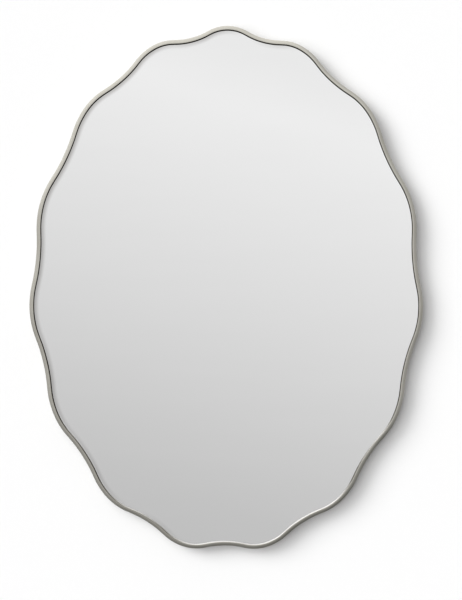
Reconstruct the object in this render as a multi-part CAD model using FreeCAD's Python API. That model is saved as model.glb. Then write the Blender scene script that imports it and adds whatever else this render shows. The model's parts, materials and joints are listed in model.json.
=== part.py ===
import FreeCAD, Part
import math
import os

os.makedirs("parts", exist_ok=True)

# Wall mirror: silvered glass in a wavy oval metal rim, hung by two D-rings on its backing board.
# Sizes are in millimetres. X runs across, Z up, and Y from the viewer towards the wall.
# The origin is the centre of the rim's flat rear edge, which lies in the plane Y = 0.

# Outline of the rim: a slightly uneven oval with waves that drift a little along it
overall_width = 762.0
overall_height = 1012.0
wave_count = 15
wave_height_sides = 11.2
wave_height_ends = 14.3
wave_drift = (0.0218, 0.0112, 0.0105, 0.0101)
bulge_threefold = -0.0018
bulge_fourfold = 0.0031

# Rim section: a head over the glass edge, with a slightly opening inner wall and a face that falls away
# outwards from a crisp inner edge, and a thin outer wall behind it
rim_depth = 28.0
rim_face = 8.8
rim_head = 6.0
rim_wall = 2.0
inner_draft_angle = 10.0
inner_edge_radius = 0.5
face_fall_angle = 30.0
shoulder_radius = 3.0

# Layers behind the head, from front to back
tape_thickness = 0.8
tape_recess = 0.5
tape_setback = 1.0
glass_thickness = 4.0
glass_clearance = 1.0
film_thickness = 0.2
film_setback = 1.0
foam_thickness = 1.0
board_thickness = 9.0
board_clearance = 1.0

# Foam strips between the film and the board
strip_count = 5
strip_spacing = 120.0
strip_width = 30.0
strip_margin = 60.0

# Setting blocks under the glass, on the two lowest waves
block_width = 40.0
block_play = 0.1

# Retaining tabs: welded to the rim's wall and screwed to the board
tab_count = 8
tab_width = 16.0
tab_reach = 12.0
tab_thickness = 1.5
tab_bend = 0.8
tab_leg_height = 5.5
tab_weld_gap = 0.1

# Hangers: a folded strap that holds the straight bar of a D-ring
hanger_spacing = 406.4
hanger_drop = 205.0
strap_width = 14.0
strap_length = 48.0
strap_sheet = 1.2
strap_bend = 1.2
strap_fold_gap = 0.1
strap_screw_count = 2
strap_screw_first = 13.0
strap_screw_pitch = 26.0
ring_wire = 3.2
ring_width = 28.0
ring_height = 26.0
ring_corner = 4.0
ring_clearance = 0.1

# Pan-head screws: the grip is their length in the board
tab_screw_shank = 3.4
tab_screw_head = 7.5
tab_screw_grip = 7.0
hanger_screw_shank = 4.0
hanger_screw_head = 8.0
hanger_screw_grip = 6.5
screw_head_height = 2.4
screw_head_rim = 1.0
screw_clearance = 0.1
recess_length = 4.2
recess_width = 0.9
recess_depth = 1.2

# Wall bumpers on the board
bumper_base = 22.0
bumper_top = 18.0
bumper_round = 1.2
bumper_proud = 1.5
bumper_side_inset = 221.0
bumper_end_inset = 115.0

# Places in depth, worked out from the layers
rim_front = -rim_depth
tape_front = rim_front + rim_head
glass_front = tape_front + tape_thickness
film_front = glass_front + glass_thickness
foam_front = film_front + film_thickness
board_front = foam_front + foam_thickness
board_rear = board_front + board_thickness

# Places across the section, measured outwards from the head's inner wall
wall_inside = rim_face - rim_wall
glass_edge = wall_inside - glass_clearance
board_edge = wall_inside - board_clearance

# Places on the back, measured in from the rim's sides and ends
hanger_height = overall_height / 2 - hanger_drop
bumper_x = overall_width / 2 - bumper_side_inset
bumper_z = overall_height / 2 - bumper_end_inset

DEPTH = FreeCAD.Vector(0, 1, 0)


def place(x, y, z):
    return FreeCAD.Vector(x, y, z)


def save(shape, name):
    shape.exportStep("parts/" + name + ".step")


# The wavy oval, settled in rounds of correction

oval_samples = 1440
settling_rounds = 20


def drift(t):
    """How far the waves have drifted along the oval at angle t."""
    return sum(share * math.sin((i + 1) * t) for i, share in enumerate(wave_drift))


def wave(t):
    """Height of the wave at oval angle t, from -1 in a valley to 1 on a crest."""
    return math.cos(wave_count * (t + drift(t)))


def bulge(t):
    """Share of its half axes that the oval reaches at angle t, without its waves."""
    return 1 + bulge_threefold * math.cos(3 * t) + bulge_fourfold * math.cos(4 * t)


def oval_point(half_width, half_height, t):
    x = (half_width * bulge(t) + wave_height_sides / 2 * wave(t)) * math.sin(t)
    z = (half_height * bulge(t) + wave_height_ends / 2 * wave(t)) * math.cos(t)
    return x, z


def fit_oval():
    """Half axes and centre height that give the rim its overall width and height."""
    turn = [2 * math.pi * i / oval_samples for i in range(oval_samples)]
    half_width = overall_width / 2 - rim_face
    half_height = overall_height / 2 - rim_face
    for _ in range(settling_rounds):
        points = [oval_point(half_width, half_height, t) for t in turn]
        reach_x = max(x for x, _z in points)
        top = max(z for _x, z in points)
        bottom = min(z for _x, z in points)
        half_width += overall_width / 2 - rim_face - reach_x
        half_height += overall_height / 2 - rim_face - (top - bottom) / 2
    return half_width, half_height, -(top + bottom) / 2


half_width, half_height, oval_centre = fit_oval()


def sight_point(t):
    """A point of the head's inner wall, seen from the front."""
    x, z = oval_point(half_width, half_height, t)
    return place(x, 0, z + oval_centre)


def direction(t, step=1e-4):
    """Unit direction of travel along the oval, clockwise from the top as seen from the front."""
    return (sight_point(t + step) - sight_point(t - step)).normalize()


def outward(travel):
    return place(-travel.z, 0, travel.x)


def wave_angle(index):
    """Oval angle of crest (even index) or valley (odd index), counted from the top crest."""
    even = index * math.pi / wave_count
    t = even
    for _ in range(settling_rounds):
        t = even - drift(t)
    return t


def right_turn(start, end):
    """Signed angle from one direction of travel to another, positive where the outline bulges."""
    return math.atan2(start.z * end.x - start.x * end.z, start.dot(end))


def make_arc(start, start_way, end, end_way):
    """One round stretch: its turn, and its start, middle and end with their outward normals."""
    turn = right_turn(start_way, end_way)
    chord = end - start
    middle_way = place(chord.x, 0, chord.z).normalize()
    rise = chord.Length / 2 * math.tan(turn / 4)
    middle = (start + end) * 0.5 + outward(middle_way) * rise
    stations = ((start, start_way), (middle, middle_way), (end, end_way))
    return turn, [(point, outward(way)) for point, way in stations]


def half_wave(t_start, t_end):
    """Two tangent arcs from a crest to a valley, or from a valley to a crest."""
    start, end = sight_point(t_start), sight_point(t_end)
    start_way, end_way = direction(t_start), direction(t_end)
    span = end - start
    along = span.dot(start_way + end_way)
    spread = 2 * (1 - start_way.dot(end_way)) * span.dot(span)
    arm = span.dot(span) / (along + math.sqrt(along * along + spread))
    corner_start = start + start_way * arm
    corner_end = end - end_way * arm
    joint = (corner_start + corner_end) * 0.5
    joint_way = (corner_end - corner_start).normalize()
    return [make_arc(start, start_way, joint, joint_way), make_arc(joint, joint_way, end, end_way)]


def trace_outline():
    arcs = []
    for i in range(2 * wave_count):
        arcs += half_wave(wave_angle(i), wave_angle(i + 1))
    return arcs


outline = trace_outline()


def arc_edge(stations, offset, y):
    points = [point + normal * offset + DEPTH * y for point, normal in stations]
    return Part.Arc(*points).toShape()


def outline_wire(offset, y):
    return Part.Wire([arc_edge(stations, offset, y) for _turn, stations in outline])


def plate(offset, front, rear):
    """A sheet that fills the outline."""
    return Part.Face(outline_wire(offset, front)).extrude(DEPTH * (rear - front))


def band(outer, inner, front, rear):
    """A flat ring that follows the outline."""
    wires = [outline_wire(outer, front), outline_wire(inner, front)]
    return Part.makeFace(wires, "Part::FaceMakerBullseye").extrude(DEPTH * (rear - front))


# Rim

def rim_section():
    """Edges of the rim's section, as points across it and in depth."""
    quarter = math.pi / 2
    draft = math.radians(inner_draft_angle)
    fall = math.radians(face_fall_angle)
    wall_height = rim_head - inner_edge_radius * (1 - math.sin(draft))
    crest = inner_edge_radius * math.cos(draft) + wall_height * math.tan(draft)
    shoulder_across = shoulder_radius * (1 - math.sin(fall))
    face_radius = (rim_face - crest - shoulder_across) / math.sin(fall)
    face_drop = face_radius * (1 - math.cos(fall))
    shoulder_end = rim_front + face_drop + shoulder_radius * math.cos(fall)

    def inner_edge(lean):
        across = crest - inner_edge_radius * math.cos(lean)
        return across, rim_front + inner_edge_radius * (1 - math.sin(lean))

    def face(lean):
        across = crest + face_radius * math.sin(lean)
        return across, rim_front + face_radius * (1 - math.cos(lean))

    def shoulder(lean):
        across = rim_face - shoulder_radius * (1 - math.sin(lean))
        return across, shoulder_end - shoulder_radius * math.cos(lean)

    return [
        [(0, tape_front), inner_edge(draft)],
        [inner_edge(draft), inner_edge((draft + quarter) / 2), inner_edge(quarter)],
        [face(0), face(fall / 2), face(fall)],
        [shoulder(fall), shoulder((fall + quarter) / 2), shoulder(quarter)],
        [shoulder(quarter), (rim_face, 0)],
        [(rim_face, 0), (wall_inside, 0)],
        [(wall_inside, 0), (wall_inside, tape_front)],
        [(wall_inside, tape_front), (0, tape_front)],
    ]


def section_edge(points, origin, normal):
    corners = [origin + normal * across + DEPTH * y for across, y in points]
    if len(corners) == 3:
        return Part.Arc(*corners).toShape()
    return Part.makeLine(*corners)


def turn_section(section):
    """A section turned about the centre of each arc of the outline, and sewn into one ring."""
    faces = []
    for turn, stations in outline:
        origin, normal = stations[0]
        centre = arc_edge(stations, 0, 0).Curve.Center
        for points in section:
            edge = section_edge(points, origin, normal)
            faces.append(edge.revolve(centre, DEPTH, math.degrees(turn)))
    shell = Part.Shell(faces)
    shell.sewShape()
    ring = Part.Solid(shell)
    if ring.Volume < 0:
        ring.reverse()
    return ring.removeSplitter()


# Glass and board

def make_foam_strips():
    strips = []
    for i in range(strip_count):
        x = (i - (strip_count - 1) / 2) * strip_spacing
        reach = half_height * math.sqrt(1 - (x / half_width) ** 2) - strip_margin
        corner = place(x - strip_width / 2, foam_front, oval_centre - reach)
        strips.append(Part.makeBox(strip_width, foam_thickness, 2 * reach, corner))
    return Part.makeCompound(strips)


def outline_box(t, width, outer, inner, front, rear):
    """A box that lies across the outline at oval angle t."""
    travel = direction(t)
    normal = outward(travel)
    corner = sight_point(t) + normal * inner + travel * (width / 2) + DEPTH * front
    box = Part.makeBox(outer - inner, rear - front, width)
    turn = FreeCAD.Rotation(normal, DEPTH, -travel, "XYZ")
    box.Placement = FreeCAD.Placement(corner, turn)
    return box


def make_setting_block(t):
    """A shim in the space between the glass and the rim's wall."""
    shim = band(wall_inside - block_play, glass_edge + block_play, glass_front, film_front)
    return shim.common(outline_box(t, block_width, rim_face, 0, glass_front, film_front))


# Retaining tabs

def tab_angle(index):
    return (index + 0.5) * 2 * math.pi / tab_count


def tab_screw_place(index):
    t = tab_angle(index)
    inset = wall_inside - tab_weld_gap - tab_reach
    return sight_point(t) + outward(direction(t)) * inset


def tab_section():
    """Edges of a bent angle's section: a foot on the board and a leg along the rim's wall."""
    leg_outer = wall_inside - tab_weld_gap
    leg_inner = leg_outer - tab_thickness
    leg_rear = board_rear + tab_leg_height
    foot_rear = board_rear + tab_thickness
    foot_end = leg_outer - tab_reach - tab_width
    bend_across = leg_inner - tab_bend
    bend_depth = foot_rear + tab_bend
    outer_bulge = (tab_bend + tab_thickness) * math.sqrt(0.5)
    inner_bulge = tab_bend * math.sqrt(0.5)
    return [
        [(foot_end, board_rear), (bend_across, board_rear)],
        [
            (bend_across, board_rear),
            (bend_across + outer_bulge, bend_depth - outer_bulge),
            (leg_outer, bend_depth),
        ],
        [(leg_outer, bend_depth), (leg_outer, leg_rear)],
        [(leg_outer, leg_rear), (leg_inner, leg_rear)],
        [(leg_inner, leg_rear), (leg_inner, bend_depth)],
        [
            (leg_inner, bend_depth),
            (bend_across + inner_bulge, bend_depth - inner_bulge),
            (bend_across, foot_rear),
        ],
        [(bend_across, foot_rear), (foot_end, foot_rear)],
        [(foot_end, foot_rear), (foot_end, board_rear)],
    ]


def make_tab(index, bent_ring):
    """A short round-ended length of the bent ring, with a screw hole in its foot."""
    seat = tab_screw_place(index) + DEPTH * board_rear
    inset = wall_inside - tab_weld_gap - tab_reach
    straight = outline_box(tab_angle(index), tab_width, rim_face, inset, board_rear, 0)
    round_end = Part.makeCylinder(tab_width / 2, -board_rear, seat, DEPTH)
    plan = straight.fuse(round_end).removeSplitter()
    hole = Part.makeCylinder(tab_screw_shank / 2 + screw_clearance, tab_thickness, seat, DEPTH)
    return bent_ring.common(plan).cut(hole)


# Screws

def make_screw(shank, head, grip, sheet, seat):
    """A pan-head screw through a sheet of the given thickness, with a cross recess."""
    top = sheet + screw_head_height
    dome_drop = screw_head_height - screw_head_rim
    dome_radius = ((head / 2) ** 2 + dome_drop ** 2) / (2 * dome_drop)
    lean = math.asin(head / 2 / dome_radius) / 2
    dome_middle = place(dome_radius * math.sin(lean), top - dome_radius * (1 - math.cos(lean)), 0)
    corners = [
        place(0, top, 0),
        place(0, -grip, 0),
        place(shank / 2, shank / 2 - grip, 0),
        place(shank / 2, sheet, 0),
        place(head / 2, sheet, 0),
        place(head / 2, sheet + screw_head_rim, 0),
    ]
    dome = Part.Arc(corners[-1], dome_middle, corners[0]).toShape()
    profile = Part.Wire(Part.makePolygon(corners).Edges + [dome])
    screw = Part.Face(profile).revolve(place(0, 0, 0), DEPTH, 360)
    for across, along in ((recess_length, recess_width), (recess_width, recess_length)):
        corner = place(-across / 2, top - recess_depth, -along / 2)
        screw = screw.cut(Part.makeBox(across, recess_depth, along, corner))
    screw.translate(seat)
    return screw


def pilot_hole(shank, grip, seat):
    depth = grip + screw_clearance
    return Part.makeCylinder(shank / 2 + screw_clearance, depth, seat - DEPTH * depth, DEPTH)


def tab_screw_seats():
    return [tab_screw_place(i) + DEPTH * board_rear for i in range(tab_count)]


# Hangers

ring_radius = ring_wire / 2
loop_inside = ring_radius + ring_clearance
loop_outside = loop_inside + strap_sheet
strap_thickness = 2 * strap_sheet + strap_fold_gap
sides = {"left": -hanger_spacing / 2, "right": hanger_spacing / 2}


def ring_axis(x):
    return place(x, board_rear + loop_outside, hanger_height)


def hanger_screw_seats(x):
    top = hanger_height - strap_screw_first
    return [place(x, board_rear, top - i * strap_screw_pitch) for i in range(strap_screw_count)]


def make_strap(x):
    """A strip folded double round the ring's bar, with a bend back onto itself and a round lower end."""
    upper_layer = strap_sheet + strap_fold_gap
    loop_centre = (0, loop_outside)
    bend_rise = strap_thickness + strap_bend - loop_outside
    bend_span = loop_outside + strap_bend
    bend_up = -math.sqrt(bend_span ** 2 - bend_rise ** 2)
    bend_centre = (bend_up, loop_outside + bend_rise)
    meet = math.atan2(bend_rise, bend_up)
    bottom = -math.pi / 2

    def spot(up, out):
        return place(x - strap_width / 2, board_rear + out, hanger_height + up)

    def line(start, end):
        return Part.makeLine(spot(*start), spot(*end))

    def arc(centre, radius, start, end):
        up, out = centre
        angles = (start, (start + end) / 2, end)
        points = [spot(up + radius * math.cos(a), out + radius * math.sin(a)) for a in angles]
        return Part.Arc(*points).toShape()

    profile = Part.Wire([
        line((-strap_length, 0), (0, 0)),
        arc(loop_centre, loop_outside, bottom, meet),
        arc(bend_centre, strap_bend, meet - math.pi, bottom),
        line((bend_up, strap_thickness), (-strap_length, strap_thickness)),
        line((-strap_length, strap_thickness), (-strap_length, upper_layer)),
        line((-strap_length, upper_layer), (bend_up, upper_layer)),
        arc(bend_centre, strap_bend + strap_sheet, bottom, meet - math.pi),
        arc(loop_centre, loop_inside, meet, bottom),
        line((0, strap_sheet), (-strap_length, strap_sheet)),
        line((-strap_length, strap_sheet), (-strap_length, 0)),
    ])
    strip = Part.Face(profile).extrude(place(strap_width, 0, 0))
    end_up = strap_width / 2 - strap_length
    straight = Part.makeBox(strap_width, 2 * loop_outside, loop_outside - end_up, spot(end_up, 0))
    end_seat = place(x, board_rear, hanger_height + end_up)
    round_end = Part.makeCylinder(strap_width / 2, strap_thickness, end_seat, DEPTH)
    strap = strip.common(straight.fuse(round_end).removeSplitter())
    for seat in hanger_screw_seats(x):
        radius = hanger_screw_shank / 2 + screw_clearance
        strap = strap.cut(Part.makeCylinder(radius, strap_thickness, seat, DEPTH))
    return strap


def make_ring(x):
    """A closed ring of round wire: a straight bar, two corners, two legs and a half-round bow."""
    half = ring_width / 2
    bow_centre = ring_height - half
    corner_drop = ring_corner * (1 - math.sqrt(0.5))
    axis = ring_axis(x)

    def spot(across, up):
        return axis + place(across, 0, up)

    path = [
        Part.makeLine(spot(ring_corner - half, 0), spot(half - ring_corner, 0)),
        Part.Arc(
            spot(half - ring_corner, 0),
            spot(half - corner_drop, corner_drop),
            spot(half, ring_corner),
        ).toShape(),
        Part.makeLine(spot(half, ring_corner), spot(half, bow_centre)),
        Part.Arc(spot(half, bow_centre), spot(0, ring_height), spot(-half, bow_centre)).toShape(),
        Part.makeLine(spot(-half, bow_centre), spot(-half, ring_corner)),
        Part.Arc(
            spot(-half, ring_corner),
            spot(corner_drop - half, corner_drop),
            spot(ring_corner - half, 0),
        ).toShape(),
    ]
    start = spot(ring_corner - half, 0)
    section = Part.Wire(Part.makeCircle(ring_radius, start, place(1, 0, 0)))
    return Part.Wire(path).makePipeShell([section], True, False)


# Wall bumpers

def make_bumper(x, z):
    """A tapered rubber foot with a rounded edge, stuck on the board."""
    height = bumper_proud - board_rear
    base = bumper_base / 2
    top = bumper_top / 2
    foot = Part.makeCone(base, top, height, place(x, board_rear, z), DEPTH)
    edge = max(foot.Edges, key=lambda e: e.BoundBox.YMin)
    return foot.makeFillet(bumper_round, [edge])


# Assembly

save(turn_section(rim_section()), "frame_rim")
save(band(glass_edge - tape_setback, tape_recess, tape_front, glass_front), "glazing_tape")
save(plate(glass_edge, glass_front, film_front), "mirror_glass")
save(plate(glass_edge - film_setback, film_front, foam_front), "safety_film")
save(make_foam_strips(), "foam_strips")

lowest = {"left": wave_count + 1, "right": wave_count - 1}
for side, index in lowest.items():
    save(make_setting_block(wave_angle(index)), "setting_block_" + side)

board = plate(board_edge, board_front, board_rear)
for seat in tab_screw_seats():
    board = board.cut(pilot_hole(tab_screw_shank, tab_screw_grip, seat))

bent_ring = turn_section(tab_section())
for i in range(tab_count):
    save(make_tab(i, bent_ring), "retaining_tab_" + str(i + 1))
screws = []
for seat in tab_screw_seats():
    sizes = (tab_screw_shank, tab_screw_head, tab_screw_grip)
    screws.append(make_screw(*sizes, tab_thickness, seat))
save(Part.makeCompound(screws), "tab_screws")

screws = []
for side, x in sides.items():
    save(make_strap(x), "hanger_strap_" + side)
    save(make_ring(x), "d_ring_" + side)
    for seat in hanger_screw_seats(x):
        board = board.cut(pilot_hole(hanger_screw_shank, hanger_screw_grip, seat))
        sizes = (hanger_screw_shank, hanger_screw_head, hanger_screw_grip)
        screws.append(make_screw(*sizes, strap_thickness, seat))
save(Part.makeCompound(screws), "hanger_screws")
save(board, "backing_board")

for level, z in (("upper", bumper_z), ("lower", -bumper_z)):
    for side, x in (("left", -bumper_x), ("right", bumper_x)):
        save(make_bumper(x, z), "wall_bumper_" + level + "_" + side)
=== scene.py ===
import json
import math
import bmesh
import bpy
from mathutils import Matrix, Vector


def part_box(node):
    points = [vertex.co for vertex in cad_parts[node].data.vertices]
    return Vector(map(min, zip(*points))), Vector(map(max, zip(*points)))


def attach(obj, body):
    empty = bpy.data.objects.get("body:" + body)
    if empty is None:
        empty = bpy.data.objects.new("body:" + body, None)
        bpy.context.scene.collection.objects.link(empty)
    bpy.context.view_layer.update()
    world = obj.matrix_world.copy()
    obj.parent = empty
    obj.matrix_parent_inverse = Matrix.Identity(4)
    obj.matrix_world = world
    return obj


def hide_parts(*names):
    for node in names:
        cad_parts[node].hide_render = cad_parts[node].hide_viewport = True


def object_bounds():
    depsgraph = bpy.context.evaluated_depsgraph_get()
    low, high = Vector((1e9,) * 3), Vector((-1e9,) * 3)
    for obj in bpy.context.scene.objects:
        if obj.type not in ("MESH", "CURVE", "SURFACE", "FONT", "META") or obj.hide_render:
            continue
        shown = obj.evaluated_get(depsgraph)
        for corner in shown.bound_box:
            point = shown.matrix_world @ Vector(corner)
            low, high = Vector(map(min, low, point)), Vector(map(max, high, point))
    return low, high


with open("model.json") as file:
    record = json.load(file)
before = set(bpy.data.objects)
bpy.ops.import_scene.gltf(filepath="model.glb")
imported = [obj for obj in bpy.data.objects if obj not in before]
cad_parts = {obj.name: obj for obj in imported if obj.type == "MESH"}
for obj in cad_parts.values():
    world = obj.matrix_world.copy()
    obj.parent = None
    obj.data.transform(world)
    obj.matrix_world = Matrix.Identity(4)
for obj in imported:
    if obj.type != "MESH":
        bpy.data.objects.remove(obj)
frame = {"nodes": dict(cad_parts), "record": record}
cad_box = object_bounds()

# Wavy oval wall mirror, hung on a white wall. Lengths are in metres, in the CAD frame:
# X across, Z up, Y from the viewer towards the wall.
nodes = frame["nodes"]
scene = bpy.context.scene
scene.view_settings.view_transform = "Standard"

# Rim section, as the CAD model has it: across from the inner wall outwards, and in depth
RIM_FACE = 0.0088
RIM_WALL = 0.002
RIM_HEAD = 0.006
INNER_DRAFT = math.radians(10)
INNER_EDGE_RADIUS = 0.0005
FACE_FALL = math.radians(30)
SHOULDER_RADIUS = 0.003
EDGE_BREAK = 0.0003

# Rim mesh: stations along the outline, points up the inner wall, and steps along the rest of the section
RIM_STATIONS = 1080
OUTLINE_STEPS = 24
WALL_SHARES = (0.0, 0.3, 0.6, 0.92)
EDGE_STEPS = 6
FACE_STEPS = 12
SHOULDER_STEPS = 10
OUTER_STEPS = 4
SHARP_ANGLE = math.radians(35)

# Rim finish: wear and dullness of its parts, painted shade and a painted highlight, and the ways the
# outline faces where the finish changes
SHOULDER_WEAR = 0.4
REAR_WEAR = 0.3
# The outer wall is darker all round: partly a duller finish and partly painted shade
OUTER_DULLNESS_AND_SHADE = 0.36
# Painted shade darkens the inner wall; it is left out, with a painted highlight, at the foot and higher
# up where the wall looks up towards the light
PAINTED_LIGHT_START = 0.2
PAINTED_LIGHT_CLIMB = 0.6
PAINTED_LIGHT_SOFTNESS = 0.3
DUST_SIDE = Vector((-0.2, 0.0, 0.98))
DUST_START = 0.62
DUST_SOFTNESS = 0.3
# Painted shade on the inner edge where the outline faces down and left, away from the light
PAINTED_SHADE_EDGE_SIDE = Vector((-0.8, 0.0, -0.6))
PAINTED_SHADE_EDGE_START = 0.8
PAINTED_SHADE_EDGE_SOFTNESS = 0.12
PAINTED_SHADE_EDGE = 0.6

# Glass: its edge, outwards from the rim's inner wall, its arris and its mesh's step in rim stations
GLASS_EDGE = 0.0058
GLASS_ARRIS = 0.0006
GLASS_STEP = 2

# Glass tone: a painted shadow of the rim: its side, how dark it is at distances from the inner wall, and
# a bare foot's reach where it is left out
PAINTED_SHADOW_SIDE = Vector((-0.9, 0.0, 0.44))
PAINTED_SHADOW_RINGS = (
    (0.0, 0.42),
    (0.0011, 0.42),
    (0.0019, 0.42),
    (0.0037, 0.34),
    (0.0056, 0.20),
    (0.0076, 0.07),
    (0.0100, 0.0),
)
SHADOW_GAP_AT_FOOT = 0.0012

# Weld beads: their size, ripples and shape, and how far their middle lies outside a tab's leg
BEAD_HALF = 0.0048
BEAD_RADIUS = 0.0011
BEAD_FLATNESS = 0.8
BEAD_END_POWER = 6
BEAD_RIPPLES = 7
BEAD_RIPPLE_DEPTH = 0.14
BEAD_LEAN = 0.0004
BEAD_OFFSET = 0.0006
BEAD_STEPS = 42
BEAD_SIDES = 12

# Reading of the CAD meshes: how near counts as on a face, and how finely angles are told apart
TOUCH = 1e-5
ANGLE_DIGITS = 5

# Photograph: where its middle lies on the object, and how much of the object it takes in
PHOTO_HEIGHT_PX = 600
METRES_PER_PX = 0.0019384
PHOTO_MIDDLE = (0.0092, -0.0248)
PHOTO_ROLL = 0.0049
CAMERA_DISTANCE = 2.6
SENSOR = 36.0

# Stage
WALL_GAP = 0.0001
WALL_COLOUR = (0.93, 0.93, 0.93)
FLOOR_DROP = 0.95
FLOOR_FADE = (1.0, 3.0)
FLOOR_COLOUR = (0.80, 0.79, 0.78)
STAGE_HALF = 4.0
STAGE_TOP = 2.5
PAINT_GRAIN = 0.995

# Lamps: a broad key and a narrower one from the upper left, and one behind for views from the back
KEY_TO_LIGHT = Vector((-0.543, -0.816, 0.198))
KEY_SPREAD = math.radians(79)
KEY_STRENGTH = 2.38
SIDE_KEY_TO_LIGHT = Vector((-0.744, -0.537, 0.396))
SIDE_KEY_SPREAD = math.radians(30)
SIDE_KEY_STRENGTH = 1.45
BACK_TO_LIGHT = Vector((0.45, 0.8, 0.4))
BACK_STRENGTH = 3.0

# Room that glass and metal show: levels by height, dimmer low and on the right, with two pale windows
ROOM_TILT = 0.30
ROOM_REACH = 0.8
ROOM_LEVELS = (
    (-0.60, 0.30),
    (-0.28, 0.48),
    (-0.155, 0.57),
    (0.0, 0.752),
    (0.146, 0.907),
    (0.188, 0.87),
    (0.30, 0.90),
    (0.60, 0.98),
)
RIGHT_DIMMING = 0.5
RIGHT_FADE = (0.2, 0.5)
LOW_DIMMING = 0.35
LOW_FADE = (-0.6, -0.28)
TOP_WINDOW = 0.12
TOP_FADE = (0.28, 0.6)
LEFT_WINDOW = 0.07
LEFT_FADE = (-0.6, -0.2)
ROOM_FILL = 0.35

# Shading: the range that most of a noise texture lies in
NOISE_LOW = 0.3
NOISE_HIGH = 0.7

# Sockets of the mix node that carry colours
MIX_FIRST = 6
MIX_SECOND = 7
MIX_RESULT = 2


# Node helpers

def grey(level):
    return (level, level, level)


def new_material(name):
    material = bpy.data.materials.new(name)
    material.use_nodes = True
    tree = material.node_tree
    return material, tree, tree.nodes["Principled BSDF"]


def node(tree, kind, **settings):
    made = tree.nodes.new(kind)
    for key, value in settings.items():
        setattr(made, key, value)
    return made


def feed(tree, socket, value):
    """Links an output to a socket, or sets the socket's value."""
    if isinstance(value, bpy.types.NodeSocket):
        tree.links.new(value, socket)
    else:
        socket.default_value = value


def math_node(tree, operation, *values):
    made = node(tree, "ShaderNodeMath", operation=operation)
    for socket, value in zip(made.inputs, values):
        feed(tree, socket, value)
    return made.outputs[0]


def object_coords(tree):
    return node(tree, "ShaderNodeTexCoord").outputs["Object"]


def attribute(tree, name):
    return node(tree, "ShaderNodeAttribute", attribute_name=name).outputs["Fac"]


def stretch(tree, vector, scale):
    made = node(tree, "ShaderNodeMapping")
    feed(tree, made.inputs["Vector"], vector)
    made.inputs["Scale"].default_value = scale
    return made.outputs["Vector"]


def noise(tree, vector, scale=1.0, detail=4.0, roughness=0.5):
    made = node(tree, "ShaderNodeTexNoise")
    feed(tree, made.inputs["Vector"], vector)
    made.inputs["Scale"].default_value = scale
    made.inputs["Detail"].default_value = detail
    made.inputs["Roughness"].default_value = roughness
    return made.outputs["Fac"]


def cells(tree, vector, scale):
    """Distance from the middle of a cell, and a colour for each cell."""
    made = node(tree, "ShaderNodeTexVoronoi")
    feed(tree, made.inputs["Vector"], vector)
    made.inputs["Scale"].default_value = scale
    return made.outputs["Distance"], made.outputs["Color"]


def ramp(tree, factor, *stops):
    """Colours along a factor, as (place, (red, green, blue))."""
    made = node(tree, "ShaderNodeValToRGB")
    feed(tree, made.inputs["Fac"], factor)
    elements = made.color_ramp.elements
    while len(elements) < len(stops):
        elements.new(0.5)
    for element, (place, colour) in zip(elements, stops):
        element.position = place
        element.color = (*colour, 1)
    return made.outputs["Color"]


def noise_ramp(tree, factor, low, high):
    """Colours along most of a noise texture's range."""
    return ramp(tree, factor, (NOISE_LOW, low), (NOISE_HIGH, high))


def span(tree, value, low, high, start=NOISE_LOW, end=NOISE_HIGH, kind="LINEAR"):
    """Goes from a low to a high result as a value goes from a start to an end."""
    made = node(tree, "ShaderNodeMapRange", interpolation_type=kind)
    feed(tree, made.inputs["Value"], value)
    made.inputs["From Min"].default_value = start
    made.inputs["From Max"].default_value = end
    made.inputs["To Min"].default_value = low
    made.inputs["To Max"].default_value = high
    return made.outputs["Result"]


def fade(tree, value, low, high, reach):
    """Goes smoothly from a low to a high result over a reach of values."""
    return span(tree, value, low, high, *reach, kind="SMOOTHSTEP")


def bump(tree, height, distance):
    made = node(tree, "ShaderNodeBump")
    feed(tree, made.inputs["Height"], height)
    made.inputs["Distance"].default_value = distance
    return made.outputs["Normal"]


def mix_colour(tree, factor, first, second, blend="MIX"):
    """Mixes a colour output with another or with a plain (red, green, blue)."""
    made = node(tree, "ShaderNodeMix", data_type="RGBA", blend_type=blend)
    feed(tree, made.inputs["Factor"], factor)
    feed(tree, made.inputs[MIX_FIRST], first)
    feed(tree, made.inputs[MIX_SECOND], (*second, 1) if isinstance(second, tuple) else second)
    return made.outputs[MIX_RESULT]


def multiply_colour(tree, first, second):
    return mix_colour(tree, 1.0, first, second, "MULTIPLY")


# Materials

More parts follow.
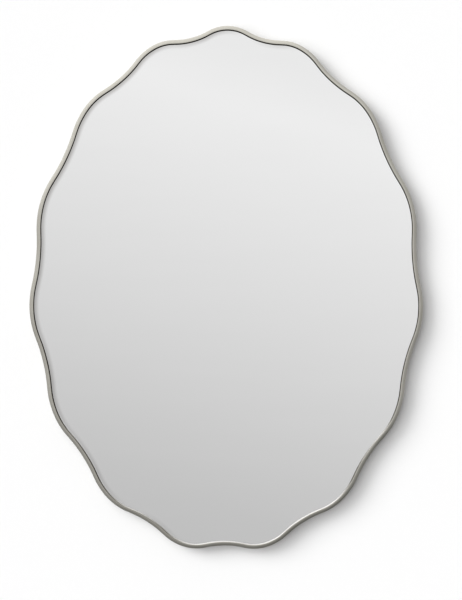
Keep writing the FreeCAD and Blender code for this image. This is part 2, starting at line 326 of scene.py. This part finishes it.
def rim_metal():
    """Satin warm nickel, brushed along the rim, polished on its edges and darkened with painted shade on
    its inner wall.

    The foot of that wall, where it looks up, is bare of that shade and polished as a painted highlight,
    and a little dusty.
    """
    polished = (0.84, 0.82, 0.77)
    painted_shade_and_dull_colour = (0.040, 0.028, 0.014)
    pale_dust = (0.88, 0.87, 0.85)
    material, tree, shader = new_material("rim_metal")
    along = node(tree, "ShaderNodeUVMap", uv_map="along").outputs["UV"]
    brushing = noise(tree, stretch(tree, along, (60, 9000, 1)), detail=3.0, roughness=0.6)
    clouds = noise(tree, object_coords(tree), scale=22.0, detail=5.0)
    wear_and_painted_highlight = attribute(tree, "wear_and_painted_highlight")
    dull_and_painted_shade = attribute(tree, "dull_and_painted_shade")
    dust = attribute(tree, "dust")
    tone = noise_ramp(tree, clouds, (0.62, 0.60, 0.535), (0.68, 0.66, 0.60))
    streaks = noise_ramp(tree, brushing, (0.90, 0.90, 0.89), grey(1.0))
    toned = multiply_colour(tree, tone, streaks)
    # Polish from wear on edges, shoulders and rear, and a painted highlight on the inner wall where it
    # looks up
    bright = mix_colour(tree, math_node(tree, "MULTIPLY", wear_and_painted_highlight, 0.5), toned, polished)
    # Painted shade on the inner wall and lower-left inner edge, and a darker outer wall that is partly
    # painted shade
    walls = mix_colour(tree, dull_and_painted_shade, bright, painted_shade_and_dull_colour)
    feed(tree, shader.inputs["Base Color"], mix_colour(tree, dust, walls, pale_dust))
    feed(tree, shader.inputs["Metallic"], span(tree, dust, 0.92, 0.1, 0.0, 1.0))
    smoothing = math_node(tree, "MULTIPLY", wear_and_painted_highlight, 0.08)
    satin = math_node(tree, "SUBTRACT", span(tree, brushing, 0.28, 0.38), smoothing)
    matt = span(tree, dull_and_painted_shade, 0.0, 0.5, 0.5, 1.0)
    feed(tree, shader.inputs["Roughness"], math_node(tree, "ADD", satin, matt))
    feed(tree, shader.inputs["Normal"], bump(tree, brushing, 0.000012))
    return material


def mirror_glass():
    """Silvered glass with faint wiping marks, and a painted shadow of the rim along its left and upper
    sides.
    """
    painted_shadow_colour = (0.05, 0.03, 0.0)
    material, tree, shader = new_material("mirror")
    space = object_coords(tree)
    wipe = noise(tree, stretch(tree, space, (3, 3, 26)), detail=5.0, roughness=0.6)
    clean = noise_ramp(tree, wipe, grey(0.927), grey(0.937))
    patchy = span(tree, noise(tree, space, scale=40.0, detail=5.0, roughness=0.6), 0.92, 1.0)
    # Painted shadow of the rim on the glass, broken up a little by noise
    painted_shadow = math_node(tree, "MULTIPLY", attribute(tree, "painted_shadow"), patchy)
    feed(tree, shader.inputs["Base Color"], mix_colour(tree, painted_shadow, clean, painted_shadow_colour))
    shader.inputs["Metallic"].default_value = 0.98
    feed(tree, shader.inputs["Roughness"], span(tree, wipe, 0.012, 0.03))
    return material


def foam(name, dark, light, scale):
    """Closed-cell foam."""
    material, tree, shader = new_material(name)
    distance, _colour = cells(tree, object_coords(tree), scale)
    feed(tree, shader.inputs["Base Color"], ramp(tree, distance, (0.0, dark), (0.6, light)))
    shader.inputs["Roughness"].default_value = 0.9
    shader.inputs["Specular IOR Level"].default_value = 0.2
    feed(tree, shader.inputs["Normal"], bump(tree, distance, 0.0002))
    return material


def plain_film():
    """Safety film with faint stretch lines."""
    material, tree, shader = new_material("film")
    lines = noise(tree, stretch(tree, object_coords(tree), (4, 4, 220)))
    tone = noise_ramp(tree, lines, (0.30, 0.32, 0.34), (0.40, 0.42, 0.44))
    feed(tree, shader.inputs["Base Color"], tone)
    feed(tree, shader.inputs["Roughness"], span(tree, lines, 0.4, 0.6))
    return material


def rubber(name, dark, light):
    """Moulded rubber with a fine grain and a little dust."""
    material, tree, shader = new_material(name)
    space = object_coords(tree)
    grain = noise(tree, space, scale=2600.0, detail=2.0)
    dust = noise(tree, space, scale=160.0, detail=5.0)
    feed(tree, shader.inputs["Base Color"], ramp(tree, dust, (0.35, dark), (0.75, light)))
    feed(tree, shader.inputs["Roughness"], span(tree, dust, 0.55, 0.75))
    feed(tree, shader.inputs["Normal"], bump(tree, grain, 0.00006))
    return material


def fibreboard():
    """Raw medium-density board: pale and dark fibres in a brown ground, with faint sanding marks."""
    dark_fibre = (0.78, 0.75, 0.72)
    pale_fibre = (1.20, 1.21, 1.22)
    material, tree, shader = new_material("board")
    space = object_coords(tree)
    fibres = noise(tree, stretch(tree, space, (1, 1, 0.35)), scale=1500.0, detail=6.0, roughness=0.7)
    clouds = noise(tree, space, scale=14.0, detail=5.0)
    sanding = noise(tree, stretch(tree, space, (900, 900, 6)), detail=2.0)
    ground = noise_ramp(tree, clouds, (0.387, 0.267, 0.161), (0.407, 0.283, 0.173))
    flecks = ramp(tree, fibres, (0.32, dark_fibre), (0.5, grey(1.0)), (0.72, pale_fibre))
    sanded = noise_ramp(tree, sanding, grey(0.93), grey(1.05))
    toned = multiply_colour(tree, ground, flecks)
    feed(tree, shader.inputs["Base Color"], multiply_colour(tree, toned, sanded))
    feed(tree, shader.inputs["Roughness"], span(tree, fibres, 0.72, 0.9))
    shader.inputs["Specular IOR Level"].default_value = 0.3
    feed(tree, shader.inputs["Normal"], bump(tree, fibres, 0.00012))
    return material


def plated(name, dark, light, roughness, spangle):
    """Plated steel: faint crystals, clouding and handling scratches."""
    material, tree, shader = new_material(name)
    space = object_coords(tree)
    _distance, crystal = cells(tree, space, spangle)
    crystal_tone = node(tree, "ShaderNodeSeparateColor")
    feed(tree, crystal_tone.inputs[0], crystal)
    clouds = noise(tree, space, scale=130.0, detail=6.0, roughness=0.6)
    scratches = noise(tree, stretch(tree, space, (700, 700, 5200)), detail=2.0)
    crystals = math_node(tree, "MULTIPLY", crystal_tone.outputs[0], 0.35)
    mixed = math_node(tree, "ADD", crystals, clouds)
    feed(tree, shader.inputs["Base Color"], ramp(tree, mixed, (0.45, dark), (0.9, light)))
    shader.inputs["Metallic"].default_value = 1.0
    feed(tree, shader.inputs["Roughness"], span(tree, clouds, *roughness))
    feed(tree, shader.inputs["Normal"], bump(tree, scratches, 0.00001))
    return material


def weld_metal():
    """Weld metal: brown and blue heat tint over grey."""
    brown = (0.42, 0.34, 0.24)
    bare = (0.55, 0.54, 0.52)
    blue = (0.33, 0.36, 0.46)
    material, tree, shader = new_material("weld")
    space = object_coords(tree)
    tint = noise(tree, space, scale=420.0)
    grain = noise(tree, space, scale=1800.0, detail=3.0)
    tone = ramp(tree, tint, (0.35, brown), (0.5, bare), (0.65, blue))
    feed(tree, shader.inputs["Base Color"], tone)
    shader.inputs["Metallic"].default_value = 1.0
    feed(tree, shader.inputs["Roughness"], span(tree, tint, 0.32, 0.5))
    feed(tree, shader.inputs["Normal"], bump(tree, grain, 0.00008))
    return material


slot_materials = {
    "rim_metal": rim_metal(),
    "mirror": mirror_glass(),
    "black_foam": foam("black_foam", grey(0.012), grey(0.05), 2400.0),
    "film": plain_film(),
    "white_foam": foam("white_foam", (0.66, 0.66, 0.64), (0.86, 0.86, 0.84), 1600.0),
    "block_rubber": rubber("block_rubber", grey(0.05), grey(0.12)),
    "board": fibreboard(),
    "zinc_steel": plated("zinc_steel", (0.50, 0.51, 0.53), (0.70, 0.71, 0.73), (0.30, 0.46), 420.0),
    "ring_wire": plated("ring_wire", (0.62, 0.62, 0.60), (0.76, 0.75, 0.73), (0.16, 0.28), 900.0),
    "screw_steel": plated("screw_steel", (0.55, 0.53, 0.46), (0.74, 0.72, 0.64), (0.24, 0.40), 900.0),
    "bumper_rubber": rubber("bumper_rubber", (0.035, 0.035, 0.04), grey(0.10)),
}

for part in frame["record"]["subparts"]:
    cad_object = nodes[part["node"]]
    cad_object.data.materials.clear()
    cad_object.data.materials.append(slot_materials[part["material_slot"]])


# Mesh helpers

def bridge(work, start, end):
    """Faces between two closed rings of vertices."""
    faces = []
    for i in range(len(start)):
        j = (i + 1) % len(start)
        faces.append(work.faces.new((start[i], start[j], end[j], end[i])))
    return faces


def finish_mesh(work, name, material):
    """Turns the work into a mesh whose faces look outwards."""
    bmesh.ops.recalc_face_normals(work, faces=work.faces)
    mesh = bpy.data.meshes.new(name)
    work.to_mesh(mesh)
    work.free()
    mesh.materials.append(material)
    return mesh


def add_piece(name, mesh):
    """A new piece that moves with the mirror."""
    piece = bpy.data.objects.new(name, mesh)
    scene.collection.objects.link(piece)
    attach(piece, "mirror")
    return piece


# Outline, read from the edge of the glass

def glass_outline():
    """Points of the glass's front edge in order, clockwise from the top as seen from the front."""
    low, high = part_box("mirror_glass")
    middle = (low + high) / 2
    found = {}
    for vertex in nodes["mirror_glass"].data.vertices:
        if abs(vertex.co.y - low.y) < TOUCH:
            angle = math.atan2(middle.x - vertex.co.x, middle.z - vertex.co.z)
            found[round(angle, ANGLE_DIGITS)] = Vector((vertex.co.x, 0, vertex.co.z))
    return [found[angle] for angle in sorted(found)]


def travel_at(points, i):
    """Unit direction of a closed line at one of its points, from the circle through its neighbours."""
    back = points[i] - points[i - 1]
    ahead = points[(i + 1) % len(points)] - points[i]
    blend = back / back.length * ahead.length + ahead / ahead.length * back.length
    return blend.normalized()


def smooth_line(points):
    """Many points on a smooth closed curve through the given ones."""
    ways = [travel_at(points, i) for i in range(len(points))]
    fine = []
    for i, start in enumerate(points):
        following = (i + 1) % len(points)
        end = points[following]
        reach = (end - start).length
        for k in range(OUTLINE_STEPS):
            s = k / OUTLINE_STEPS
            fine.append(
                start * (1 + 2 * s) * (1 - s) ** 2 + ways[i] * reach * s * (1 - s) ** 2
                + end * s * s * (3 - 2 * s) + ways[following] * reach * s * s * (s - 1)
            )
    return fine


def even_stations(line, count):
    """Evenly spaced points of a closed line with their normals and distances run, and its length."""
    run = [0.0]
    for i, point in enumerate(line):
        run.append(run[-1] + (line[(i + 1) % len(line)] - point).length)
    places = []
    i = 0
    for k in range(count):
        wanted = run[-1] * k / count
        while run[i + 1] < wanted:
            i += 1
        share = (wanted - run[i]) / (run[i + 1] - run[i])
        places.append((line[i].lerp(line[(i + 1) % len(line)], share), wanted))
    stations = []
    for k, (point, distance) in enumerate(places):
        way = (places[(k + 1) % count][0] - places[k - 1][0]).normalized()
        stations.append((point, Vector((-way.z, 0, way.x)), distance))
    return stations, run[-1]


# Rim, with a finer skin than the CAD mesh

def arc_points(centre, radius, start, end, steps):
    turn = [start + (end - start) * k / steps for k in range(steps + 1)]
    return [(centre[0] + radius * math.cos(a), centre[1] + radius * math.sin(a)) for a in turn]


def zoned(zone, points):
    """Points of one zone of the section, with its name and how far along it each one lies."""
    last = len(points) - 1
    return [(across, depth, zone, k / last) for k, (across, depth) in enumerate(points)]


def rim_section():
    """Points round the rim's section: across, depth, zone and share of the way along that zone."""
    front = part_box("frame_rim")[0].y
    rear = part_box("frame_rim")[1].y
    head_rear = front + RIM_HEAD
    wall_height = RIM_HEAD - INNER_EDGE_RADIUS * (1 - math.sin(INNER_DRAFT))
    crest = INNER_EDGE_RADIUS * math.cos(INNER_DRAFT) + wall_height * math.tan(INNER_DRAFT)
    shoulder_across = SHOULDER_RADIUS * (1 - math.sin(FACE_FALL))
    face_radius = (RIM_FACE - crest - shoulder_across) / math.sin(FACE_FALL)
    face_drop = face_radius * (1 - math.cos(FACE_FALL))
    shoulder_end = front + face_drop + SHOULDER_RADIUS * math.cos(FACE_FALL)
    wall_inside = RIM_FACE - RIM_WALL
    forward = -math.pi / 2
    fallen = forward + FACE_FALL

    edge_centre = (crest, front + INNER_EDGE_RADIUS)
    edge = arc_points(edge_centre, INNER_EDGE_RADIUS, INNER_DRAFT - math.pi, forward, EDGE_STEPS)
    face = arc_points((crest, front + face_radius), face_radius, forward, fallen, FACE_STEPS)
    shoulder_centre = (RIM_FACE - SHOULDER_RADIUS, shoulder_end)
    shoulder = arc_points(shoulder_centre, SHOULDER_RADIUS, fallen, 0.0, SHOULDER_STEPS)
    top_across, top_depth = edge[0]
    wall = [(top_across * share, head_rear + (top_depth - head_rear) * share) for share in WALL_SHARES]
    outer_height = rear - shoulder_end
    outer = [(RIM_FACE, shoulder_end + outer_height * k / OUTER_STEPS) for k in range(1, OUTER_STEPS)]
    outer.append((RIM_FACE, rear - EDGE_BREAK))
    rear_edge = [(RIM_FACE - EDGE_BREAK, rear), (wall_inside + EDGE_BREAK, rear)]
    inside = [(wall_inside, depth) for depth in (rear - EDGE_BREAK, (rear + head_rear) / 2, head_rear)]

    section = [(across, depth, "wall", share) for (across, depth), share in zip(wall, WALL_SHARES)]
    section += zoned("edge", edge)
    section += zoned("face", face)[1:]
    section += zoned("shoulder", shoulder)[1:]
    section += zoned("outer", outer)
    section += zoned("rear", rear_edge)
    section += zoned("inside", inside)
    return section


def rise(value, start, softness):
    """Goes evenly from 0 at the start to 1 beyond it."""
    return min(max((value - start) / softness, 0.0), 1.0)


def painted_light_share(normal, up_wall):
    """How far the inner wall is left without painted shade, with a painted highlight: its foot first,
    and higher up where it looks up more.
    """
    return rise(-normal.z - PAINTED_LIGHT_CLIMB * up_wall, PAINTED_LIGHT_START, PAINTED_LIGHT_SOFTNESS)


def rim_finish(zone, along, normal):
    """Wear, dullness, painted shade and highlight, and dust at a point of the rim, by its zone and the
    way the outline faces.
    """
    if zone == "wall":
        # Painted shade on the inner wall, left out with a painted highlight where it looks up
        bare = painted_light_share(normal, along)
        return bare, 1 - bare, rise(-normal.dot(DUST_SIDE), DUST_START, DUST_SOFTNESS)
    if zone == "edge":
        # Painted shade on the inner edge where the outline faces down and left
        dull_and_painted_shade = PAINTED_SHADE_EDGE * rise(normal.dot(PAINTED_SHADE_EDGE_SIDE), PAINTED_SHADE_EDGE_START, PAINTED_SHADE_EDGE_SOFTNESS)
        return math.sin(math.pi * along) * (1 - dull_and_painted_shade), dull_and_painted_shade, 0.0
    if zone == "shoulder":
        return SHOULDER_WEAR * math.sin(math.pi * along), 0.0, 0.0
    if zone == "outer":
        # Outer wall darker all round: duller finish and painted shade
        return 0.0, OUTER_DULLNESS_AND_SHADE, 0.0
    if zone == "rear":
        return REAR_WEAR, 0.0, 0.0
    return 0.0, 0.0, 0.0


def make_rim(stations, length):
    section = rim_section()
    around = [0.0]
    for i, corner in enumerate(section):
        ahead = section[(i + 1) % len(section)]
        around.append(around[-1] + math.hypot(ahead[0] - corner[0], ahead[1] - corner[1]))
    work = bmesh.new()
    layers = [work.verts.layers.float.new(name) for name in ("wear_and_painted_highlight", "dull_and_painted_shade", "dust")]
    uv = work.loops.layers.uv.new("along")
    rings = []
    for point, normal, _distance in stations:
        ring = []
        for across, depth, zone, along in section:
            place = point + normal * (across - GLASS_EDGE)
            vertex = work.verts.new((place.x, depth, place.z))
            for layer, value in zip(layers, rim_finish(zone, along, normal)):
                vertex[layer] = value
            ring.append(vertex)
        rings.append(ring)
    runs = [distance for _point, _normal, distance in stations] + [length]
    for k, ring in enumerate(rings):
        for i, face in enumerate(bridge(work, ring, rings[(k + 1) % len(rings)])):
            face.smooth = True
            low, high = around[i], around[i + 1]
            corners = ((runs[k], low), (runs[k], high), (runs[k + 1], high), (runs[k + 1], low))
            for loop, corner in zip(face.loops, corners):
                loop[uv].uv = corner
    mesh = finish_mesh(work, "rim_skin", slot_materials["rim_metal"])
    mesh.set_sharp_from_angle(angle=SHARP_ANGLE)
    return mesh


stations, outline_length = even_stations(smooth_line(glass_outline()), RIM_STATIONS)
rim = add_piece("rim_skin", make_rim(stations, outline_length))
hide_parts("frame_rim")


# Glass, with a ground edge and a painted shadow of the rim

def painted_glass_shadow(inset, painted_shadow, normal):
    """Painted shadow on the glass on one side of the outline, left out beside a bare foot of the wall.
    """
    beside_wall = inset < GLASS_EDGE + SHADOW_GAP_AT_FOOT
    light = painted_light_share(normal, 0.0) if beside_wall else 0.0
    return painted_shadow * max(normal.dot(PAINTED_SHADOW_SIDE), 0) * (1 - light)


def make_glass(stations):
    low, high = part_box("mirror_glass")
    front, rear = low.y, high.y
    loops = [
        (GLASS_ARRIS, rear, 0.0),
        (0.0, rear - GLASS_ARRIS, 0.0),
        (0.0, front + GLASS_ARRIS, 0.0),
        (GLASS_ARRIS, front, PAINTED_SHADOW_RINGS[0][1]),
    ]
    loops += [(GLASS_EDGE + inset, front, painted_shadow) for inset, painted_shadow in PAINTED_SHADOW_RINGS]
    work = bmesh.new()
    painted_shadow_layer = work.verts.layers.float.new("painted_shadow")
    rings = []
    for inset, depth, painted_shadow in loops:
        ring = []
        for point, normal, _distance in stations:
            place = point - normal * inset
            vertex = work.verts.new((place.x, depth, place.z))
            # Painted shadow of the rim, stored on each vertex
            vertex[painted_shadow_layer] = painted_glass_shadow(inset, painted_shadow, normal)
            ring.append(vertex)
        rings.append(ring)
    for outer, inner in zip(rings, rings[1:]):
        bridge(work, outer, inner)
    middle = (low + high) / 2
    for ring, depth in ((rings[0], rear), (rings[-1], front)):
        hub = work.verts.new((middle.x, depth, middle.z))
        for k, vertex in enumerate(ring):
            work.faces.new((vertex, ring[(k + 1) % len(ring)], hub))
    return finish_mesh(work, "glass_plate", slot_materials["mirror"])


glass = add_piece("glass_plate", make_glass(stations[::GLASS_STEP]))
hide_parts("mirror_glass")


# Weld beads that hold the retaining tabs to the rim's wall

def add_bead(work, centre, travel, outward):
    """A rippled bead with closed ends along the rear edge of a tab's leg."""
    depth = Vector((0, 1, 0))
    rings = []
    for k in range(BEAD_STEPS + 1):
        s = -1 + 2 * (k + 0.5) / (BEAD_STEPS + 1)
        ripple = abs(math.sin(math.pi * BEAD_RIPPLES * (s + 1) / 2))
        narrowing = (1 - s ** BEAD_END_POWER) ** 0.5
        radius = BEAD_RADIUS * narrowing * (1 - BEAD_RIPPLE_DEPTH * (1 - ripple))
        lean = BEAD_LEAN * s * s
        ring = []
        for i in range(BEAD_SIDES):
            a = 2 * math.pi * i / BEAD_SIDES
            side = travel * (s * BEAD_HALF + lean * math.cos(a)) + outward * (radius * math.cos(a))
            ring.append(work.verts.new(centre + side + depth * (BEAD_FLATNESS * radius * math.sin(a))))
        rings.append(ring)
    faces = []
    for start, end in zip(rings, rings[1:]):
        faces += bridge(work, start, end)
    faces += [work.faces.new(rings[0]), work.faces.new(rings[-1])]
    for face in faces:
        face.smooth = True


def make_beads():
    work = bmesh.new()
    for name in sorted(n for n in nodes if n.startswith("retaining_tab_")):
        low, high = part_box(name)
        edge = [v.co for v in nodes[name].data.vertices if v.co.y > high.y - TOUCH]
        leg = sum(edge, Vector()) / len(edge)
        far = max(edge, key=lambda p: (p - leg).length)
        near = max(edge, key=lambda p: (p - far).length)
        travel = (near - far).normalized()
        outward = leg - (low + high) / 2
        outward.y = 0
        outward = (outward - travel * outward.dot(travel)).normalized()
        add_bead(work, leg + outward * BEAD_OFFSET, travel, outward)
    return finish_mesh(work, "weld_beads", weld_metal())


add_piece("weld_beads", make_beads())


# Stage: a white wall that only the camera in front sees, and a pale floor that fades into the white room

def stage_material(name, colour):
    """Matt paint with a faint grain, and the socket that makes it clear."""
    material = bpy.data.materials.new(name)
    material.use_nodes = True
    tree = material.node_tree
    tree.nodes.clear()
    grain = noise(tree, object_coords(tree), scale=300.0, detail=3.0)
    darker = tuple(c * PAINT_GRAIN for c in colour)
    paint = node(tree, "ShaderNodeBsdfDiffuse")
    feed(tree, paint.inputs["Color"], noise_ramp(tree, grain, darker, colour))
    mix = node(tree, "ShaderNodeMixShader")
    feed(tree, mix.inputs[1], paint.outputs[0])
    feed(tree, mix.inputs[2], node(tree, "ShaderNodeBsdfTransparent").outputs[0])
    output = node(tree, "ShaderNodeOutputMaterial")
    feed(tree, output.inputs["Surface"], mix.outputs[0])
    return material, tree, mix.inputs[0]


def wall_paint():
    """Matt white paint that a camera behind it looks through."""
    material, tree, clear = stage_material("wall_paint", WALL_COLOUR)
    feed(tree, clear, node(tree, "ShaderNodeNewGeometry").outputs["Backfacing"])
    return material


def floor_paint():
    """Matt pale paint that fades out around the object."""
    material, tree, clear = stage_material("floor_paint", FLOOR_COLOUR)
    away = node(tree, "ShaderNodeVectorMath", operation="LENGTH")
    feed(tree, away.inputs[0], object_coords(tree))
    feed(tree, clear, fade(tree, away.outputs["Value"], 0.0, 1.0, FLOOR_FADE))
    return material


def add_sheet(name, corners, material, height=0.0):
    mesh = bpy.data.meshes.new(name)
    mesh.from_pydata(corners, [], [(0, 1, 2, 3)])
    mesh.materials.append(material)
    sheet = bpy.data.objects.new(name, mesh)
    sheet.location.z = height
    scene.collection.objects.link(sheet)
    sheet.visible_diffuse = False
    sheet.visible_glossy = False
    sheet.visible_transmission = False
    sheet.visible_shadow = False


wall_y = cad_box[1][1] + WALL_GAP
floor_z = cad_box[0][2] - FLOOR_DROP
add_sheet("stage_wall", [
    (-STAGE_HALF, wall_y, floor_z),
    (STAGE_HALF, wall_y, floor_z),
    (STAGE_HALF, wall_y, STAGE_TOP),
    (-STAGE_HALF, wall_y, STAGE_TOP),
], wall_paint())
add_sheet("stage_floor", [
    (-STAGE_HALF, -STAGE_HALF, 0),
    (STAGE_HALF, -STAGE_HALF, 0),
    (STAGE_HALF, STAGE_HALF, 0),
    (-STAGE_HALF, STAGE_HALF, 0),
], floor_paint(), floor_z)


# Light

def add_sun(name, to_light, strength, spread):
    data = bpy.data.lights.new(name, "SUN")
    data.energy = strength
    data.angle = spread
    lamp = bpy.data.objects.new(name, data)
    lamp.rotation_euler = to_light.to_track_quat("Z", "Y").to_euler()
    lamp.visible_glossy = False
    scene.collection.objects.link(lamp)


add_sun("key", KEY_TO_LIGHT, KEY_STRENGTH, KEY_SPREAD)
add_sun("side_key", SIDE_KEY_TO_LIGHT, SIDE_KEY_STRENGTH, SIDE_KEY_SPREAD)
add_sun("back", BACK_TO_LIGHT, BACK_STRENGTH, KEY_SPREAD)


def room_level(tree):
    """Level of the room in each direction, from bright above to dim below and on the right."""
    parts = node(tree, "ShaderNodeSeparateXYZ")
    feed(tree, parts.inputs[0], node(tree, "ShaderNodeTexCoord").outputs["Generated"])
    across, up = parts.outputs["X"], parts.outputs["Z"]
    height = math_node(tree, "ADD", up, math_node(tree, "MULTIPLY", across, ROOM_TILT))
    place = span(tree, height, 0.0, 1.0, -ROOM_REACH, ROOM_REACH)
    stops = [((at + ROOM_REACH) / (2 * ROOM_REACH), grey(level)) for at, level in ROOM_LEVELS]
    level = ramp(tree, place, *stops)
    for value, low, high, reach in (
        (across, 1.0, 1 - RIGHT_DIMMING, RIGHT_FADE),
        (up, 1 - LOW_DIMMING, 1.0, LOW_FADE),
    ):
        level = math_node(tree, "MULTIPLY", level, fade(tree, value, low, high, reach))
    for value, low, high, reach in (
        (up, 0.0, TOP_WINDOW, TOP_FADE),
        (across, LEFT_WINDOW, 0.0, LEFT_FADE),
    ):
        level = math_node(tree, "ADD", level, fade(tree, value, low, high, reach))
    return level


def light_room():
    """A room that is white to the camera, shows its levels in glass and metal, and fills shadows."""
    world = bpy.data.worlds.new("room")
    world.use_nodes = True
    scene.world = world
    tree = world.node_tree
    background = tree.nodes["Background"]
    rays = node(tree, "ShaderNodeLightPath").outputs
    share = span(tree, rays["Is Glossy Ray"], ROOM_FILL, 1.0, 0.0, 1.0)
    level = math_node(tree, "MULTIPLY", room_level(tree), share)
    seen = math_node(tree, "MAXIMUM", rays["Is Camera Ray"], rays["Is Transmission Ray"])
    feed(tree, background.inputs["Strength"], math_node(tree, "MAXIMUM", level, seen))
    background.inputs["Color"].default_value = (1, 1, 1, 1)


light_room()


# Camera, straight on as in the photograph

def add_camera():
    data = bpy.data.cameras.new("camera")
    glass_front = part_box("mirror_glass")[0].y
    data.sensor_fit = "AUTO"
    data.sensor_width = SENSOR
    data.lens = SENSOR * CAMERA_DISTANCE / (PHOTO_HEIGHT_PX * METRES_PER_PX)
    camera = bpy.data.objects.new("camera", data)
    camera.location = (PHOTO_MIDDLE[0], glass_front - CAMERA_DISTANCE, PHOTO_MIDDLE[1])
    camera.rotation_euler = (math.pi / 2, -PHOTO_ROLL, 0)
    scene.collection.objects.link(camera)
    scene.camera = camera


add_camera()
